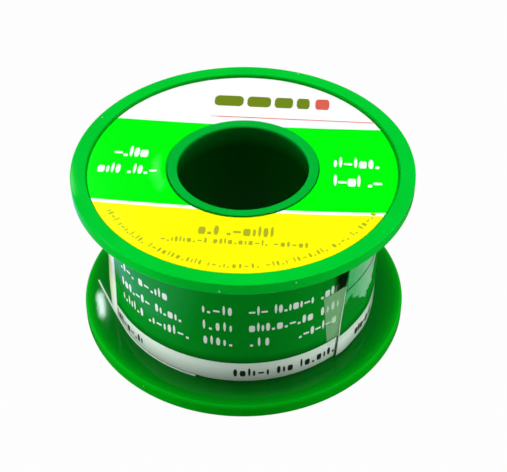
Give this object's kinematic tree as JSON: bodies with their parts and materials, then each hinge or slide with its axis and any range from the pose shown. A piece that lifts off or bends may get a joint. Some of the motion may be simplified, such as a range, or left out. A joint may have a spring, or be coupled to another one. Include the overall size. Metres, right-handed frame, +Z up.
{
  "type": "solder wire spool",
  "caption": "Small reel of fine solder wire: moulded flanges on a core tube with a spindle bore, wound wire, wrap label and face sticker.",
  "frame": {"origin": "centre of the lower flange's outer face, which the reel lies on", "axes": "+Z up along the reel's axis, from the lower flange to the upper one; +X to the right in the picture's view"},
  "size_m": [0.06, 0.06, 0.032],
  "materials": {
    "flange_plastic": "glossy injection-moulded green plastic",
    "tube_plastic": "glossy injection-moulded green plastic, a little darker",
    "solder": "bright drawn tin solder wire",
    "label": "printed and laminated glossy paper, green with a white lower band",
    "clear_tape": "clear adhesive tape, glossy",
    "sticker": "printed glossy sticker, white, green and yellow"
  },
  "bodies": {
    "root": {"lower_flange": "flange_plastic", "upper_flange": "flange_plastic", "core_tube": "tube_plastic", "inner_windings": "solder", "outer_turns": "solder", "wire_end": "solder", "wrap_label": "label", "seam_tape": "clear_tape", "face_sticker": "sticker"}
  },
  "joints": []
}
